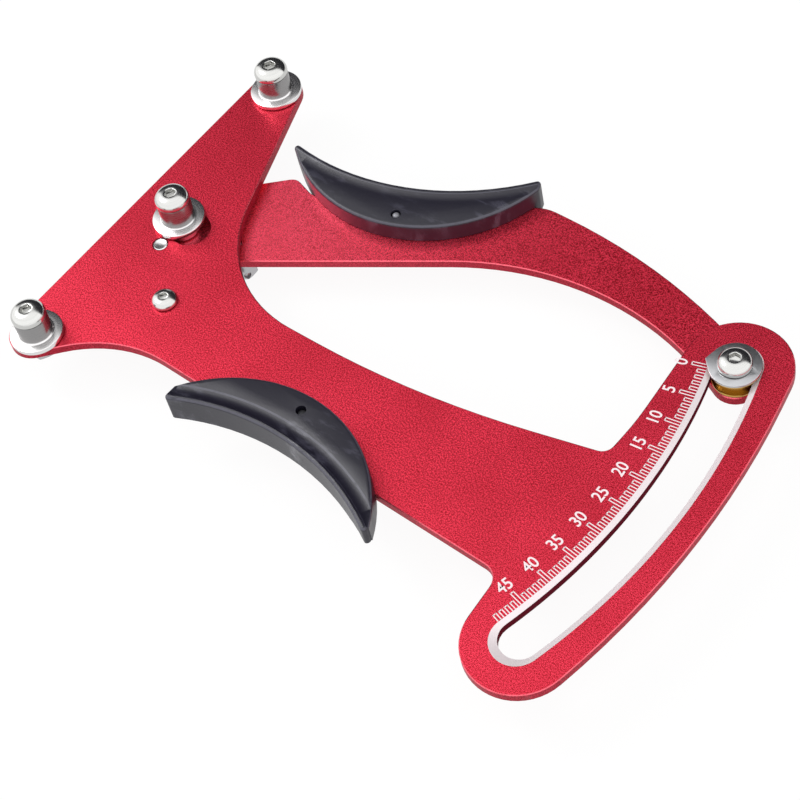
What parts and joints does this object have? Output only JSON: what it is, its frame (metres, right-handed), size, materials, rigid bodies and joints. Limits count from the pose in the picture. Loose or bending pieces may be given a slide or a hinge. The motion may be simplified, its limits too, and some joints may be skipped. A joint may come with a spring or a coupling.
{
  "type": "spoke tension meter",
  "caption": "Plier-shaped gauge: squeezing its grips turns an arm whose post bends a wheel spoke against fixed posts, and a pointer reads the bend on a curved scale",
  "frame": {"origin": "on the frame plate's top face, halfway between the axes of the two outer posts", "axes": "+X from the posts towards the scale; +Y along the line of the outer posts; +Z out of the face that carries the scale and the posts"},
  "size_m": [0.2041, 0.139, 0.0289],
  "materials": {
    "anodised_red": "bead blasted and anodised red",
    "black_grip": "matte moulded",
    "turned_aluminium": "turned bright",
    "bright_steel": "polished stainless",
    "zinc_steel": "satin zinc",
    "turned_brass": "turned",
    "black_steel": "black oxide",
    "spring_steel": "drawn wire"
  },
  "bodies": {
    "frame": {"frame_plate": "anodised_red", "lower_grip": "black_grip", "lower_grip_pin": "black_steel", "lower_post": "turned_aluminium", "upper_post": "turned_aluminium", "lower_post_screw": "bright_steel", "upper_post_screw": "bright_steel", "lower_post_nut": "zinc_steel", "upper_post_nut": "zinc_steel", "pivot_pin": "bright_steel", "pivot_washer": "turned_brass", "pivot_back_washer": "zinc_steel"},
    "arm": {"arm_plate": "anodised_red", "upper_grip": "black_grip", "upper_grip_pin": "black_steel", "centre_post": "turned_aluminium", "centre_post_screw": "bright_steel", "centre_post_nut": "zinc_steel", "slot_bush": "turned_brass", "pointer_washer": "turned_brass", "pointer": "zinc_steel", "pointer_screw": "bright_steel", "pointer_nut": "zinc_steel"},
    "anchor": {"anchor_stud": "zinc_steel", "anchor_screw": "bright_steel", "calibration_screw": "black_steel", "lock_nut": "zinc_steel", "adjusting_nut": "turned_brass", "return_spring": "spring_steel"},
    "arm_swivel": {"arm_stud": "zinc_steel", "spring_washer": "zinc_steel"}
  },
  "joints": [
    {"name": "arm_pivot", "type": "hinge", "parent": "frame", "child": "arm", "pos_m": [0.00873, -0.01031, -0.0036], "axis": [0, 0, -1], "range_deg": [0, 32], "stiffness_Nm_per_rad": 0.6, "springref_deg": -6.88, "deforming": ["return_spring"]},
    {"name": "anchor_turn", "type": "hinge", "parent": "frame", "child": "anchor", "pos_m": [0.0245, -0.0258, -0.0036], "axis": [0, 0, -1], "range_deg": [0, 15.5]},
    {"name": "arm_stud_turn", "type": "hinge", "parent": "arm", "child": "arm_swivel", "pos_m": [0.0252, 0.0037, -0.0072], "axis": [0, 0, 1], "range_deg": [0, 16.6]}
  ],
  "couplings": [
    {"joint": "anchor_turn", "follows": "arm_pivot", "ratio": 0.484},
    {"joint": "arm_stud_turn", "follows": "arm_pivot", "ratio": 0.516}
  ]
}
